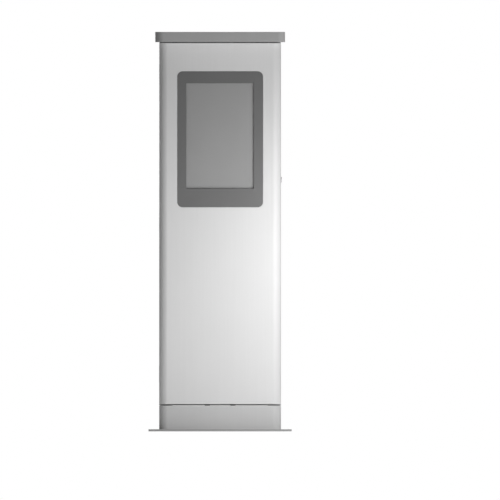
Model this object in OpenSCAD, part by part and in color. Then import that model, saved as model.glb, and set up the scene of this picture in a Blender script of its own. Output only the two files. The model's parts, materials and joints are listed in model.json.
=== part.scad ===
// Free-standing outdoor parking pay station: a slim pillar on a floor plate, with a hinged screen
// door in front, a screwed cover behind, a channel upright on each side and a canopy on top.
// Millimetres. Z is up, the customer stands at -Y, and the origin is the middle of the floor
// plate's underside.

/* [Overall] */
// Height from the floor to the top of the canopy
overall_h = 1870; // [1800:1:2100]
// Width of the pillar across its two shells
body_w = 570; // [540:1:640]
// Depth of the uprights, between the two shadow grooves
frame_d = 68; // [57:1:90]
// Outer radius of the shells' upright corners
corner_r = 40; // [15:1:45]
// Thickness of the folded sheet
sheet_t = 2; // [1.5:0.1:2.5]

/* [Floor plate] */
// Width of the floor plate
base_w = 670; // [650:1:760]
// Depth of the floor plate
base_d = 400; // [370:1:480]
// Thickness of the floor plate
base_t = 10; // [8:1:15]
// Radius of the floor plate's corners
base_corner_r = 6; // [2:1:30]
// Distance between anchor holes across the plate
anchor_pitch_x = 600; // [560:1:610]
// Distance between anchor holes from front to back
anchor_pitch_y = 330; // [300:1:340]
// Diameter of an anchor hole
anchor_d = 14; // [12:1:18]
// Width of the cable opening in the floor plate
cable_slot_w = 240; // [160:1:300]
// Depth of the cable opening in the floor plate
cable_slot_d = 50; // [40:1:56]

/* [Canopy] */
// Height of the canopy
canopy_h = 48; // [40:1:60]
// Overhang of the canopy at each side
canopy_side = 19; // [10:1:40]
// Overhang of the canopy behind
canopy_rear = 17; // [10:1:40]
// Overhang of the canopy in front, over the screen
canopy_front = 109; // [60:1:140]

/* [Shells] */
// Depth of the door and of the rear cover
shell_d = 62; // [56:1:66]
// Width of the shadow groove between a shell and an upright
groove = 6; // [5:0.5:8]
// Height of the plinth panels above the floor plate
plinth_h = 111; // [90:1:140]
// Gap between the front plinth and the door
door_gap_low = 6; // [4:0.5:10]
// Gap between the door and the canopy
door_gap_high = 4; // [3:0.5:8]
// Gap around the rear cover's ends
cover_gap = 1; // [0.5:0.5:3]
// Width of the sealing strips
gasket_w = 12; // [8:1:14]
// Clearance of a sealing strip when the door is shut
gasket_gap = 0.3; // [0.2:0.1:0.6]

/* [Uprights] */
// Wall thickness of an upright
upright_t = 4; // [3:0.5:5]
// Depth of an upright's flanges, inwards
flange_w = 60; // [56:1:70]
// How far an upright's face stands back from the shells
upright_recess = 2; // [0:0.5:3]
// Wall thickness of the cross rails
rail_t = 3; // [2:0.5:4]
// Height of the head rail and of the sill tray
rail_h = 40; // [34:1:50]

/* [Screen] */
// Width of the bezel
bezel_w = 400; // [380:1:430]
// Height of the bezel
bezel_h = 635; // [600:1:680]
// Radius of the bezel's corners
bezel_r = 24; // [10:1:40]
// Width of the visible screen
screen_w = 316; // [280:1:330]
// Height of the visible screen
screen_h = 492; // [440:1:510]
// Height of the visible screen's lower edge above the floor
screen_z = 1137; // [1050:1:1180]
// Width of the bezel's band below the screen
bezel_low = 87; // [82:1:100]
// Gap around the bezel in the door
bezel_gap = 1; // [0.5:0.5:2]
// Thickness of the bezel, and so the depth of the screen's recess
bezel_t = 3; // [2.5:0.5:4]
// Thickness of the touch glass
glass_t = 6; // [4:0.5:8]
// How far the bezel overlaps the glass at each edge
glass_lap = 12; // [8:1:16]
// Thickness of the display panel
lcd_t = 28; // [20:1:32]

/* [Hinges] */
// Length of a hinge
hinge_len = 80; // [60:1:120]
// Outer radius of a hinge knuckle
knuckle_r = 4; // [3.5:0.5:4.5]
// Radius of a hinge pin
hinge_pin_r = 2; // [1.5:0.25:2.5]
// Gap between the folded leaves
leaf_gap = 1.2; // [0.8:0.1:1.6]
// Width of a hinge leaf
leaf_w = 36; // [30:1:37]

/* [Locks] */
// Height of the main lock
lock_z = 1177; // [1120:1:1230]
// Height of the upper cam lock
cam_lock_z = 1287; // [1270:1:1340]
// Radius of the main lock's rosette
rosette_r = 14; // [13:0.5:17]
// Radius of the main lock's key cylinder
plug_r = 6.9; // [6:0.1:8]
// Teeth on the lock pinion
gear_teeth = 18; // [17:1:20]
// Module of the pinion and its racks
gear_module = 1.25; // [1:0.05:1.3]
// Width of a locking rod along X
rod_w = 10; // [8:1:12]
// Thickness of a locking rod along Y
rod_t = 6; // [5:0.5:7]
// Radius of a locking roller
roller_r = 4; // [3:0.5:4.5]

/* [Cooling] */
// Side of a fan's square frame
fan_side = 120; // [80:1:140]
// Thickness of a fan
fan_t = 25; // [20:1:30]
// Height of the intake fan's axis
intake_z = 420; // [380:1:520]
// Height of the exhaust fan's axis
exhaust_z = 1560; // [1400:1:1650]
// Thickness of the intake filter
filter_t = 8; // [5:1:10]
// Blades on a fan rotor
fan_blades = 7; // [5:1:9]

/* [Hidden] */
$fn = 64;
EPS = 1;          // how far a cut runs past the face it cuts
RUN_FIT = 0.05;   // radial clearance of a turning or threaded fit
SLIDE_FIT = 0.3;  // clearance around a sliding rod
CLEAR = 0.3;      // clearance of a bolt in its hole

// Planes and places that follow from the sizes above
body_d = frame_d + 2 * (shell_d + groove);
front_y = -body_d / 2;
door_back_y = front_y + shell_d;
frame_y = frame_d / 2;
frame_x = body_w / 2 - upright_recess;
web_x = frame_x - upright_t;
flange_x = frame_x - flange_w;
flange_y = frame_y - upright_t;
plinth_top = base_t + plinth_h;
door_z0 = plinth_top + door_gap_low;
canopy_z = overall_h - canopy_h;
door_z1 = canopy_z - door_gap_high;
cover_z0 = plinth_top + cover_gap;
cover_z1 = canopy_z - cover_gap;
door_h = door_z1 - door_z0;
cover_h = cover_z1 - cover_z0;
canopy_w = body_w + 2 * canopy_side;
canopy_d = body_d + canopy_front + canopy_rear;
canopy_y = (canopy_rear - canopy_front) / 2;

sill_z = door_z0 + 3;
head_z = canopy_z - rail_h;
seal_x = flange_x + 5 + gasket_w / 2;
seal_z0 = sill_z + rail_h / 2 - gasket_w / 2;
seal_z1 = head_z + rail_h / 2 + gasket_w / 2;
lip_w = body_w / 2 - sheet_t - (flange_x - 10);

bezel_z = screen_z - bezel_low + bezel_h / 2;
screen_mid_z = screen_z + screen_h / 2;
carrier_front_y = front_y + bezel_t;
carrier_t = glass_t;
carrier_w = bezel_w + 30;
carrier_h = bezel_h + 30;
carrier_r = bezel_r + 15;
lcd_y = carrier_front_y + glass_t + 0.5;
lcd_rim = 10;
board_hole_x = 60;
board_hole_z = 42;

hinge_x = -(frame_x - 1.5);
hinge_y = -(frame_y + groove / 2);
hinge_zs = [door_z0 + 140, (door_z0 + door_z1) / 2, door_z1 - 140];
leaf_t = (groove - leaf_gap) / 2;
leaf_x = hinge_x + knuckle_r;
knuckle_gap = 0.5;

pitch_r = gear_module * gear_teeth / 2;
gear_x = web_x - 34;
gear_w = rod_w - 2;
root_r = pitch_r - 1.25 * gear_module;
rod_y = -(pitch_r + 1.3 * gear_module + rod_t / 2);
rod_travel = pitch_r * PI / 2;
rod_x = gear_x;
roller_len = 11;
tongue_x = rod_x + rod_w / 2 + 4;
tongue_t = 3;
upper_tongues = [lock_z + 230, door_z1 - 118];
lower_tongues = [lock_z - 280, door_z0 + 175];
upper_rollers = [for (z = upper_tongues) z - rod_travel];
lower_rollers = [for (z = lower_tongues) z + rod_travel];
roller_pin_r = 1.9;
cam_len = 26;
cam_x = web_x - 17;
cam_t = 3.5;
cam_half = 6;
cam_tongue_z = cam_lock_z + 25;

plate_y = frame_y - 18;
plate_t = 2;
plate_w = 410;
plate_z0 = door_z0 + 165;
plate_z1 = door_z1 - 160;
fan_wall_y = -front_y - sheet_t;
din_z = 560;
din_y = plate_y - 7.5;
breaker_x = -70;
breaker_w = 54;
breaker_d = 48;
lever_y = din_y - breaker_d - 4;
lever_z = din_z + 8;

// ---- shared shapes ----

// A rectangle with round corners, centred
module rounded_rect(w, h, r) {
    square([w - 2 * r, h], center = true);
    square([w, h - 2 * r], center = true);
    for (x = [-1, 1], y = [-1, 1])
        translate([x * (w / 2 - r), y * (h / 2 - r)]) circle(r);
}

// A plate in the XZ plane with round corners, from y to y + t
module wall_plate(w, h, r, y, t, z) {
    translate([0, y + t, z]) rotate([90, 0, 0]) linear_extrude(t) rounded_rect(w, h, r);
}

// Plan of a shell that faces -Y, with its open back on y = 0
module shell_plan(w, d, r) {
    translate([-w / 2, r - d]) square([w, d - r]);
    translate([r - w / 2, -d]) square([w - 2 * r, d]);
    intersection() {
        translate([-w / 2, -d]) square([w, d]);
        for (side = [-1, 1]) translate([side * (w / 2 - r), r - d]) circle(r);
    }
}

// A folded sheet shell of height h, open behind, closed on top and where floor is true below
module shell_tray(h, floor) {
    low = floor ? sheet_t : -EPS;
    difference() {
        linear_extrude(h) shell_plan(body_w, shell_d, corner_r);
        translate([0, EPS, low]) linear_extrude(h - sheet_t - low)
            shell_plan(body_w - 2 * sheet_t, shell_d - sheet_t + EPS, corner_r - sheet_t);
    }
}

// A frame that closes a shell's back, with a stiffening return around its opening
module back_frame(h) {
    inner_w = body_w - 2 * sheet_t;
    open_w = inner_w - 2 * lip_w;
    open_h = h - 2 * lip_w;
    difference() {
        union() {
            translate([-inner_w / 2, -sheet_t, sheet_t])
                cube([inner_w, sheet_t, h - 2 * sheet_t]);
            translate([-open_w / 2 - sheet_t, -12, lip_w - sheet_t])
                cube([open_w + 2 * sheet_t, 12, open_h + 2 * sheet_t]);
        }
        translate([-open_w / 2, -20, lip_w]) cube([open_w, 30, open_h]);
    }
}

// A sealing strip that runs around the door or cover opening, from y0 to y1
module seal_ring(y0, y1) {
    mid = (seal_z0 + seal_z1) / 2;
    tall = seal_z1 - seal_z0;
    wide = 2 * seal_x + gasket_w;
    difference() {
        wall_plate(wide, tall, 14, y0, y1 - y0, mid);
        wall_plate(wide - 2 * gasket_w, tall - 2 * gasket_w, 4, y0 - EPS, y1 - y0 + 2 * EPS, mid);
    }
}

// A bolt along +Z: the shank starts at z = 0 and the hex head stands below it
module bolt(r, len) {
    cylinder(r = r, h = len);
    translate([0, 0, -0.65 * 2 * r]) cylinder(r = 1.9 * r, h = 1.3 * r, $fn = 6);
}

// A rod of radius r along +X from x0 to x1
module x_rod(r, x0, x1, y, z) {
    translate([x0, y, z]) rotate([0, 90, 0]) cylinder(r = r, h = x1 - x0);
}

// A rod of radius r along +Y from y0 to y1
module y_rod(r, y0, y1, x, z) {
    translate([x, y1, z]) rotate([90, 0, 0]) cylinder(r = r, h = y1 - y0);
}

// Rings of a round tube that follows a list of points, as one closed mesh
function unit(v) = v / norm(v);
function along(p, i) = unit(p[min(i + 1, len(p) - 1)] - p[max(i - 1, 0)]);
function across(t) = unit(cross(t, abs(t[0]) < 0.8 ? [1, 0, 0] : [0, 1, 0]));
function ring(p, i, r, sides) = let (t = along(p, i), u = across(t), v = cross(t, u))
    [for (k = [0:sides - 1]) p[i] + r * (cos(360 * k / sides) * u + sin(360 * k / sides) * v)];
module tube(p, r, sides = 10) {
    last = (len(p) - 1) * sides;
    polyhedron(
        points = [for (i = [0:len(p) - 1]) each ring(p, i, r, sides)],
        faces = concat(
            [[for (k = [0:sides - 1]) k]],
            [for (i = [0:len(p) - 2], k = [0:sides - 1])
                [i * sides + k, (i + 1) * sides + k,
                 (i + 1) * sides + (k + 1) % sides, i * sides + (k + 1) % sides]],
            [[for (k = [sides - 1:-1:0]) last + k]]));
}
// A curve of n steps through four control points
function bezier(a, b, c, d, n) = [for (i = [0:n]) let (s = i / n, q = 1 - s)
    q * q * q * a + 3 * q * q * s * b + 3 * q * s * s * c + s * s * s * d];

// ---- floor, uprights and rails ----

foot_bolt_r = 5;
foot_side_bolt_r = 4;
shoe_h = 80;
shoe_t = 6;
shoe_floor = 8;
foot_bolt_xs = [flange_x + 14, web_x - 12];
foot_side_z = base_t + 55;

module base_plate() {
    color("dimgray") difference() {
        linear_extrude(base_t) rounded_rect(base_w, base_d, base_corner_r);
        translate([0, 0, -EPS]) linear_extrude(base_t + 2 * EPS)
            rounded_rect(cable_slot_w, cable_slot_d, 10);
        for (x = [-1, 1], y = [-1, 1])
            translate([x * anchor_pitch_x / 2, y * anchor_pitch_y / 2, -EPS])
                cylinder(d = anchor_d, h = base_t + 2 * EPS);
        for (side = [-1, 1], x = foot_bolt_xs)
            translate([side * x, 0, 2]) cylinder(r = foot_bolt_r + RUN_FIT, h = base_t);
    }
}

// Plan of an upright: a channel with its web on x = 0 and its flanges running to -X
module channel_plan(d, w, t, r) {
    difference() {
        union() {
            translate([-w, -d / 2]) square([w - r, d]);
            translate([-w, r - d / 2]) square([w, d - 2 * r]);
            for (y = [-1, 1]) translate([-r, y * (d / 2 - r)]) circle(r);
        }
        translate([-w - EPS, t - d / 2]) square([w - t + EPS, d - 2 * t]);
    }
}

module upright_bar() {
    difference() {
        translate([frame_x, 0, base_t]) linear_extrude(canopy_z - base_t)
            channel_plan(frame_d, flange_w, upright_t, 3);
        for (y = [-1, 1], x = foot_bolt_xs)
            y_rod(foot_side_bolt_r + CLEAR, y * frame_y - 6, y * frame_y + 6, x, foot_side_z);
        for (z = cover_screw_zs)
            y_rod(cover_screw_r + CLEAR, flange_y - EPS, frame_y + EPS, cover_screw_x, z);
    }
}

module left_upright() {
    color("darkgray") difference() {
        mirror([1, 0, 0]) upright_bar();
        for (z = hinge_zs)
            translate([hinge_x, hinge_y, z - hinge_len / 2 - 2])
                cylinder(r = knuckle_r + 1, h = hinge_len + 4);
    }
}

module right_upright() {
    color("darkgray") difference() {
        upright_bar();
        x_rod(lock_barrel_r + CLEAR / 3, web_x - EPS, frame_x + EPS, 0, lock_z);
        x_rod(cam_barrel_r + CLEAR / 3, web_x - EPS, frame_x + EPS, 0, cam_lock_z);
        for (z = concat(upper_tongues, lower_tongues))
            translate([tongue_x - 4, -frame_y - EPS, z - 17])
                cube([tongue_t + 8, upright_t + 2 * EPS, 34]);
        translate([tongue_x - 4, -frame_y - EPS, cam_tongue_z - 15])
            cube([22, upright_t + 2 * EPS, 30]);
    }
}

module foot_shoes() {
    color("silver") for (side = [-1, 1]) mirror([side < 0 ? 1 : 0, 0, 0])
        difference() {
            translate([flange_x + 2, -flange_y, base_t])
                cube([web_x - flange_x - 2, 2 * flange_y, shoe_h]);
            translate([flange_x, -flange_y + shoe_t, base_t + shoe_floor])
                cube([flange_w, 2 * (flange_y - shoe_t), shoe_h]);
            for (x = foot_bolt_xs) {
                translate([x, 0, 0]) cylinder(r = foot_bolt_r + CLEAR, h = base_t + 20);
                y_rod(foot_side_bolt_r + RUN_FIT, -flange_y - EPS, flange_y + EPS, x, foot_side_z);
            }
        }
}

module foot_bolts() {
    color("gainsboro") for (side = [-1, 1], x = foot_bolt_xs) {
        translate([side * x, 0, base_t + shoe_floor]) rotate([180, 0, 0]) bolt(foot_bolt_r, 15);
        for (y = [-1, 1]) translate([side * x, y * frame_y, foot_side_z])
            rotate([y * 90, 0, 0]) bolt(foot_side_bolt_r, upright_t + shoe_t);
    }
}

// A cross rail of channel section along X, its back wall at z0 and its walls towards +Z
module rail(z0, h, mouth_up) {
    len_x = 2 * flange_x;
    difference() {
        translate([-flange_x, -frame_y, z0]) cube([len_x, frame_d, h]);
        translate([-flange_x - EPS, -frame_y + rail_t, z0 + (mouth_up ? rail_t : -EPS)])
            cube([len_x + 2 * EPS, frame_d - 2 * rail_t, h - rail_t + EPS]);
    }
}

canopy_bolt_r = 4;
canopy_bolt_x = flange_x - 43;
canopy_bolt_y = frame_y - rail_t - 17;

module head_rail() {
    color("darkgray") difference() {
        rail(head_z, rail_h, false);
        for (x = [-1, 1], y = [-1, 1])
            translate([x * canopy_bolt_x, y * canopy_bolt_y, canopy_z - rail_t - EPS])
                cylinder(r = canopy_bolt_r + CLEAR, h = rail_t + 2 * EPS);
    }
}

gland_x = 60;
gland_thread_r = 10;
gland_bore_r = 6.5;

module sill_tray() {
    color("darkgray") difference() {
        rail(sill_z, rail_h, true);
        for (x = [-1, 1]) translate([x * gland_x, 0, sill_z - EPS])
            cylinder(r = gland_thread_r + CLEAR, h = rail_t + 2 * EPS);
    }
}

module cable_glands() {
    color("dimgray") for (x = [-1, 1]) translate([x * gland_x, 0, sill_z])
        difference() {
            union() {
                translate([0, 0, -6]) cylinder(r = 14, h = 6, $fn = 6);
                translate([0, 0, -18]) cylinder(r1 = 9.5, r2 = 12, h = 12);
                cylinder(r = gland_thread_r, h = 14);
                translate([0, 0, rail_t]) cylinder(r = 14, h = 5, $fn = 6);
            }
            translate([0, 0, -20]) cylinder(r = gland_bore_r, h = 40);
        }
}

plate_rail_h = 30;
plate_rail_zs = [plate_z0 + 45, plate_z1 - 45];

module plate_rails() {
    color("silver") for (z = plate_rail_zs) difference() {
        translate([-flange_x, plate_y + plate_t, z - plate_rail_h / 2])
            cube([2 * flange_x, frame_y - plate_y - plate_t, plate_rail_h]);
        translate([-flange_x - EPS, plate_y + plate_t + 2, z - plate_rail_h / 2 + 2])
            cube([2 * flange_x + 2 * EPS, frame_y, plate_rail_h - 4]);
    }
}

module mounting_plate() {
    color("lightgray")
        wall_plate(plate_w, plate_z1 - plate_z0, 8, plate_y, plate_t, (plate_z0 + plate_z1) / 2);
}

// ---- canopy ----

module canopy_shell() {
    color("gray") difference() {
        translate([0, canopy_y, canopy_z]) linear_extrude(canopy_h)
            rounded_rect(canopy_w, canopy_d, corner_r);
        translate([0, canopy_y, canopy_z - EPS]) linear_extrude(canopy_h - sheet_t + EPS)
            rounded_rect(canopy_w - 2 * sheet_t, canopy_d - 2 * sheet_t, corner_r - sheet_t);
    }
}

module canopy_soffit() {
    color("gray") difference() {
        translate([0, canopy_y, canopy_z]) linear_extrude(sheet_t)
            rounded_rect(canopy_w - 2 * sheet_t, canopy_d - 2 * sheet_t, corner_r - sheet_t);
        for (x = [-1, 1], y = [-1, 1])
            translate([x * canopy_bolt_x, y * canopy_bolt_y, canopy_z - EPS])
                cylinder(r = canopy_bolt_r + CLEAR, h = sheet_t + 2 * EPS);
    }
}

module canopy_ribs() {
    rib_w = 36;
    rib_x = canopy_bolt_x + 45;
    rib_l = canopy_d - 2 * corner_r;
    rib_h = canopy_h - 2 * sheet_t;
    color("silver") for (x = [-1, 1]) difference() {
        translate([x * rib_x - rib_w / 2, canopy_y - rib_l / 2, canopy_z + sheet_t])
            cube([rib_w, rib_l, rib_h]);
        translate([x * rib_x - rib_w / 2 - (x < 0 ? EPS : -2), canopy_y - rib_l / 2 - EPS,
                canopy_z + sheet_t + 2])
            cube([rib_w - 2 + EPS, rib_l + 2 * EPS, rib_h - 4]);
    }
}

module canopy_bolts() {
    color("gainsboro") for (x = [-1, 1], y = [-1, 1])
        translate([x * canopy_bolt_x, y * canopy_bolt_y, 0]) {
            translate([0, 0, canopy_z - rail_t]) bolt(canopy_bolt_r, rail_t + sheet_t + 12);
            translate([0, 0, canopy_z + sheet_t]) difference() {
                cylinder(r = 1.9 * canopy_bolt_r, h = 6.5, $fn = 6);
                translate([0, 0, -EPS]) cylinder(r = canopy_bolt_r + RUN_FIT, h = 9);
            }
        }
}

// ---- plinths and rear cover ----

plinth_screw_x = 200;
plinth_screw_y = front_y + 24;

module plinth_panel() {
    difference() {
        translate([0, door_back_y, base_t]) shell_tray(plinth_h, false);
        for (x = [-1, 1]) translate([x * plinth_screw_x, plinth_screw_y, plinth_top - sheet_t])
            translate([0, 0, -EPS]) cylinder(r1 = 2.1, r2 = 5.1, h = sheet_t + EPS);
    }
}

module front_plinth() {
    color("gray") plinth_panel();
}

module rear_plinth() {
    color("gray") mirror([0, 1, 0]) plinth_panel();
}

module plinth_brackets() {
    color("silver") for (side = [-1, 1], x = [-1, 1]) mirror([0, side < 0 ? 0 : 1, 0])
        translate([x * plinth_screw_x, plinth_screw_y, 0]) difference() {
            union() {
                translate([-15, -12, base_t]) cube([30, 24, 4]);
                translate([-15, 9, base_t]) cube([30, 3, plinth_h - sheet_t]);
                translate([-15, -12, plinth_top - sheet_t - 4]) cube([30, 24, 4]);
            }
            translate([0, 0, plinth_top - 16]) cylinder(r = 2.5, h = 16);
        }
}

module plinth_screws() {
    color("gainsboro") for (side = [-1, 1], x = [-1, 1]) mirror([0, side < 0 ? 0 : 1, 0])
        translate([x * plinth_screw_x, plinth_screw_y, plinth_top - sheet_t])
            difference() {
                union() {
                    cylinder(r1 = 2.4, r2 = 4.4, h = sheet_t);
                    translate([0, 0, -9]) cylinder(r = 2.4, h = 9);
                }
                translate([0, 0, 0.8]) cylinder(r = 1.4, h = sheet_t, $fn = 6);
            }
}

cover_screw_x = frame_x - 30;
cover_screw_r = 3;
cover_screw_zs = [for (i = [0:3]) cover_z0 + 90 + i * (cover_h - 180) / 3];

// A field of level slots in front of a fan
module vent_slots(z) {
    slot_w = 0.84 * fan_side;
    for (i = [-4:4]) wall_plate(slot_w, 5, 2.4, fan_wall_y - EPS, sheet_t + 2 * EPS, z + 11 * i);
}

module rear_cover() {
    color("lightgray") difference() {
        translate([0, -door_back_y, cover_z0]) mirror([0, 1, 0]) {
            shell_tray(cover_h, true);
            back_frame(cover_h);
        }
        vent_slots(intake_z);
        vent_slots(exhaust_z);
        for (x = [-1, 1], z = cover_screw_zs)
            y_rod(cover_screw_r + RUN_FIT, -door_back_y - EPS, -door_back_y + sheet_t + EPS,
                x * cover_screw_x, z);
    }
}

module rear_gasket() {
    color("#222222") seal_ring(frame_y, -door_back_y);
}

module cover_screws() {
    color("gainsboro") for (x = [-1, 1], z = cover_screw_zs)
        translate([x * cover_screw_x, flange_y, z]) rotate([-90, 0, 0])
            bolt(cover_screw_r, upright_t + groove + sheet_t + 4);
}

// ---- cooling ----

fan_bore_r = fan_side / 2 - 3;
fan_hub_r = 19;
fan_shaft_r = 2;
intake_y = fan_wall_y - filter_t - fan_t;
exhaust_y = fan_wall_y - fan_t;

module intake_filter() {
    color("dimgray") wall_plate(fan_side, fan_side, 3, fan_wall_y - filter_t, filter_t, intake_z);
}

// A fan frame from y to y + fan_t, with its motor plate and shaft on the inner side
module fan_housing(y, z) {
    difference() {
        wall_plate(fan_side, fan_side, 6, y, fan_t, z);
        y_rod(fan_bore_r, y - EPS, y + fan_t + EPS, 0, z);
        for (x = [-1, 1], v = [-1, 1])
            y_rod(2.2, y + 4, y + fan_t + EPS, x * 0.4375 * fan_side, z + v * 0.4375 * fan_side);
    }
    y_rod(fan_hub_r, y, y + 3, 0, z);
    y_rod(fan_shaft_r, y + 1, y + 15, 0, z);
    for (a = [0:90:270]) translate([0, y, z]) rotate([0, a, 0])
        translate([fan_hub_r - 2, 0.5, -2]) cube([fan_bore_r - fan_hub_r + 3.5, 2, 4]);
}

module fan_housings() {
    color("#303030") {
        fan_housing(intake_y, intake_z);
        fan_housing(exhaust_y, exhaust_z);
    }
}

// A fan rotor: a cup that turns on the shaft, with pitched blades
module fan_rotor(y, z) {
    blade_l = fan_bore_r - fan_hub_r - 2;
    translate([0, y, z]) difference() {
        union() {
            y_rod(fan_hub_r, 5, 21, 0, 0);
            for (i = [0:fan_blades - 1]) rotate([0, i * 360 / fan_blades, 0])
                translate([fan_hub_r - 2, 12.5, 0]) rotate([35, 0, 0])
                    translate([0, -1, -11]) cube([blade_l, 2, 22]);
        }
        y_rod(fan_shaft_r + RUN_FIT, 4, 15.5, 0, 0);
    }
}

module intake_fan_rotor() {
    color("#404040") fan_rotor(intake_y, intake_z);
}

module exhaust_fan_rotor() {
    color("#404040") fan_rotor(exhaust_y, exhaust_z);
}

// ---- hinges ----

knuckle_len = (hinge_len - 2 * knuckle_gap) / 3;

// One knuckle of a hinge centred on z, number 0, 1 or 2 from below, with a strap to its leaf
module knuckle(z, number, leaf_y) {
    z0 = z - hinge_len / 2 + number * (knuckle_len + knuckle_gap);
    translate([hinge_x, hinge_y, z0]) cylinder(r = knuckle_r, h = knuckle_len);
    translate([hinge_x, leaf_y, z0]) cube([leaf_x - hinge_x + 1, leaf_t, knuckle_len]);
}

module hinge_leaf(z, leaf_y, numbers, bore) {
    difference() {
        union() {
            translate([leaf_x + 0.8, leaf_y, z - hinge_len / 2])
                cube([leaf_w - 0.8, leaf_t, hinge_len]);
            for (n = numbers) knuckle(z, n, leaf_y);
        }
        translate([hinge_x, hinge_y, z - hinge_len]) cylinder(r = bore, h = 2 * hinge_len);
    }
}

module hinge_frame_leaves() {
    color("silver") for (z = hinge_zs)
        hinge_leaf(z, -frame_y - leaf_t, [0, 2], hinge_pin_r + RUN_FIT / 2);
}

module hinge_door_leaves() {
    color("silver") for (z = hinge_zs)
        hinge_leaf(z, door_back_y, [1], hinge_pin_r + RUN_FIT);
}

module hinge_pins() {
    color("gainsboro") for (z = hinge_zs) translate([hinge_x, hinge_y, z - hinge_len / 2])
        cylinder(r = hinge_pin_r, h = hinge_len);
}

// ---- locks ----

lock_barrel_r = 11;
lock_inner_x = gear_x + gear_w / 2 + 3;
rosette_t = 3;
cover_t = 1.8;
rivet_up = 10.5;
rivet_r = 1.5;
cam_barrel_r = 6;
cam_plug_r = 4;
cam_head_r = 7;

module main_lock_body() {
    face = frame_x + rosette_t;
    color("silver") difference() {
        union() {
            x_rod(lock_barrel_r, lock_inner_x, frame_x, 0, lock_z);
            x_rod(rosette_r, frame_x, face, 0, lock_z);
            x_rod(rivet_r, face, face + cover_t + 1.2, 0, lock_z + rivet_up);
            x_rod(rivet_r + 1, face + cover_t + 0.5, face + cover_t + 1.3, 0, lock_z + rivet_up);
        }
        x_rod(plug_r + RUN_FIT, lock_inner_x - EPS, face + EPS, 0, lock_z);
    }
}

module main_lock_plug() {
    color("gainsboro") difference() {
        x_rod(plug_r, gear_x - gear_w / 2 - 2, frame_x + rosette_t - 0.5, 0, lock_z);
        translate([frame_x - 15, -1.1, lock_z - 4.5]) cube([30, 2.2, 9]);
    }
}

module lock_cover() {
    face = frame_x + rosette_t + 0.2;
    color("gray") difference() {
        union() {
            x_rod(plug_r + 4, face, face + cover_t, 0, lock_z);
            x_rod(rivet_r + 2, face, face + cover_t, 0, lock_z + rivet_up);
        }
        x_rod(rivet_r + RUN_FIT, face - EPS, face + cover_t + EPS, 0, lock_z + rivet_up);
    }
}

module hex_nut_x(r, bore, x, t, z) {
    difference() {
        translate([x - t, 0, z]) rotate([0, 90, 0]) cylinder(r = r, h = t, $fn = 6);
        x_rod(bore, x - t - EPS, x + EPS, 0, z);
    }
}

module lock_nuts() {
    color("silver") {
        hex_nut_x(lock_barrel_r + 5, lock_barrel_r + RUN_FIT, web_x, 6, lock_z);
        hex_nut_x(cam_barrel_r + 4, cam_barrel_r + RUN_FIT, web_x, 4, cam_lock_z);
    }
}

// Half the angle that a tooth fills at radius r, for an involute of 20 degrees
press = 20;
function involute(a) = tan(a) * 180 / PI - a;
function half_tooth(r, slack) = 90 / gear_teeth - slack + involute(press)
    - involute(acos(min(1, pitch_r * cos(press) / r)));

module pinion_plan() {
    tip_r = pitch_r + 0.9 * gear_module;
    base_r = pitch_r * cos(press);
    slack = 0.35;
    radii = [for (i = [0:4]) base_r + i * (tip_r - base_r) / 4];
    circle(root_r);
    for (k = [0:gear_teeth - 1]) rotate(k * 360 / gear_teeth) polygon(concat(
        [[(root_r - 0.4) * cos(half_tooth(base_r, slack)),
            -(root_r - 0.4) * sin(half_tooth(base_r, slack))]],
        [for (r = radii) r * [cos(half_tooth(r, slack)), -sin(half_tooth(r, slack))]],
        [for (i = [4:-1:0]) radii[i]
            * [cos(half_tooth(radii[i], slack)), sin(half_tooth(radii[i], slack))]],
        [[(root_r - 0.4) * cos(half_tooth(base_r, slack)),
            (root_r - 0.4) * sin(half_tooth(base_r, slack))]]));
}

module lock_pinion() {
    color("goldenrod") translate([gear_x - gear_w / 2, 0, lock_z]) rotate([90, 0, 90])
        linear_extrude(gear_w) difference() {
            pinion_plan();
            circle(plug_r + RUN_FIT);
        }
}

// A rack tooth in the YZ plane: its root line on y = 0 and its tip towards +Y
module rack_tooth() {
    high = 2.1 * gear_module;
    low = 0.4;
    half = gear_module * PI / 4 - 0.12;
    root = half + (1.2 * gear_module + low) * tan(press);
    tip = half - 0.9 * gear_module * tan(press);
    polygon([[-low, -root], [high, -tip], [high, tip], [-low, root]]);
}

// A toothed bar whose teeth face +Y, from row first to row last of the gaps at lock_z
module rack(first, last) {
    pitch = gear_module * PI;
    back = rod_y - rod_t / 2;
    face = -(pitch_r + 1.2 * gear_module);
    translate([rod_x - rod_w / 2, back, lock_z + (first - 0.7) * pitch])
        cube([rod_w, face - back, (last - first + 1.4) * pitch]);
    for (k = [first:last]) translate([rod_x - rod_w / 2, face, lock_z + k * pitch])
        rotate([90, 0, 90]) linear_extrude(rod_w) rack_tooth();
}

module rod_bar(z0, z1, roller_zs = []) {
    difference() {
        translate([rod_x - rod_w / 2, rod_y - rod_t / 2, z0]) cube([rod_w, rod_t, z1 - z0]);
        for (z = roller_zs)
            x_rod(roller_pin_r + RUN_FIT, rod_x - rod_w, rod_x + rod_w, rod_y, z);
    }
}

// Rollers beside a rod, each with its pin through the rod
module rod_rollers(zs) {
    face = rod_x + rod_w / 2;
    for (z = zs) {
        x_rod(roller_pin_r, face - rod_w, face + 1, rod_y, z);
        x_rod(roller_r, face + 0.1, face + roller_len, rod_y, z);
    }
}

rack_rows = 7.5;

module upper_lock_rod() {
    color("gainsboro") {
        rack(-rack_rows, 3.5);
        rod_bar(lock_z + 3 * gear_module * PI, upper_tongues[1] + 20, upper_rollers);
        rod_rollers(upper_rollers);
    }
}

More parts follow.
